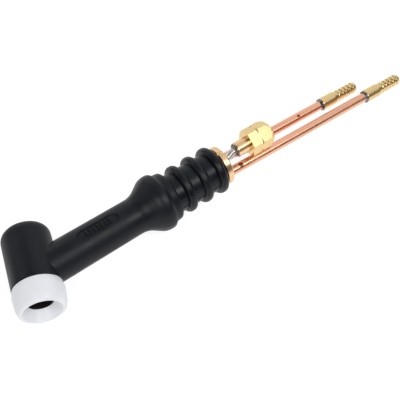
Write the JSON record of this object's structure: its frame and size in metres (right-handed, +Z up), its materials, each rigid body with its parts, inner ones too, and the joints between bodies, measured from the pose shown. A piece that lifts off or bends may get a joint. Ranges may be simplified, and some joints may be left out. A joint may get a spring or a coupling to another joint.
{
  "type": "electrode holder",
  "caption": "Bare TIG welding torch body: angled head with a white nose insulator, flexible rubber neck, ribbed handle core, copper service tubes with hose barbs and a brass union nut.",
  "frame": {"origin": "where the head's axis crosses the handle's axis, inside the collet thread", "axes": "+X along the handle to the rear, +Z up with the torch lying on its side, nose towards -Y"},
  "size_m": [0.2327, 0.0466, 0.0284],
  "materials": {
    "neck_rubber": "matt moulded silicone rubber",
    "handle_core": "satin moulded",
    "insulator_white": "smooth, slightly translucent",
    "brass": "turned and drawn",
    "copper": "drawn tube, lightly stained",
    "tinned_copper": "tinned",
    "solder": "dull"
  },
  "bodies": {
    "handle": {"ribbed_core": "handle_core", "bulge_moulding": "neck_rubber", "end_disc": "brass", "gas_tube": "copper", "water_tube": "copper", "power_tube": "tinned_copper", "gas_barb": "brass", "water_barb": "brass", "gas_barb_solder": "solder", "water_barb_solder": "solder", "power_nipple": "brass", "power_nipple_solder": "solder"},
    "link_1": {"neck_link_1": "neck_rubber", "gas_tube_link_1": "copper", "water_tube_link_1": "copper", "power_tube_link_1": "tinned_copper"},
    "link_2": {"neck_link_2": "neck_rubber", "gas_tube_link_2": "copper", "water_tube_link_2": "copper", "power_tube_link_2": "tinned_copper"},
    "head": {"head_moulding": "neck_rubber", "head_core": "brass", "water_jacket": "copper", "gas_tube_head": "copper", "water_tube_head": "copper", "power_tube_head": "tinned_copper"},
    "front_insulator": {"front_insulator": "insulator_white"},
    "union_nut": {"union_nut": "brass"}
  },
  "joints": [
    {"name": "neck_bend", "type": "hinge", "parent": "handle", "child": "link_1", "pos_m": [0.045, 0, 0], "axis": [0, 0, 1], "range_deg": [-14, 14]},
    {"name": "neck_bend_middle", "type": "hinge", "parent": "link_1", "child": "link_2", "pos_m": [0.033, 0, 0], "axis": [0, 0, 1], "range_deg": [-14, 14]},
    {"name": "neck_bend_head", "type": "hinge", "parent": "link_2", "child": "head", "pos_m": [0.021, 0, 0], "axis": [0, 0, 1], "range_deg": [-14, 14]},
    {"name": "insulator_pull", "type": "slide", "parent": "head", "child": "front_insulator", "axis": [-0.3256, -0.9455, 0], "range_m": [0, 0.015]},
    {"name": "union_nut_spin", "type": "hinge", "parent": "handle", "child": "union_nut", "pos_m": [0.1266, 0.00016, 0.00497], "axis": [1, 0, 0], "continuous": true}
  ],
  "couplings": [
    {"joint": "neck_bend_middle", "follows": "neck_bend", "ratio": 1},
    {"joint": "neck_bend_head", "follows": "neck_bend", "ratio": 1}
  ]
}
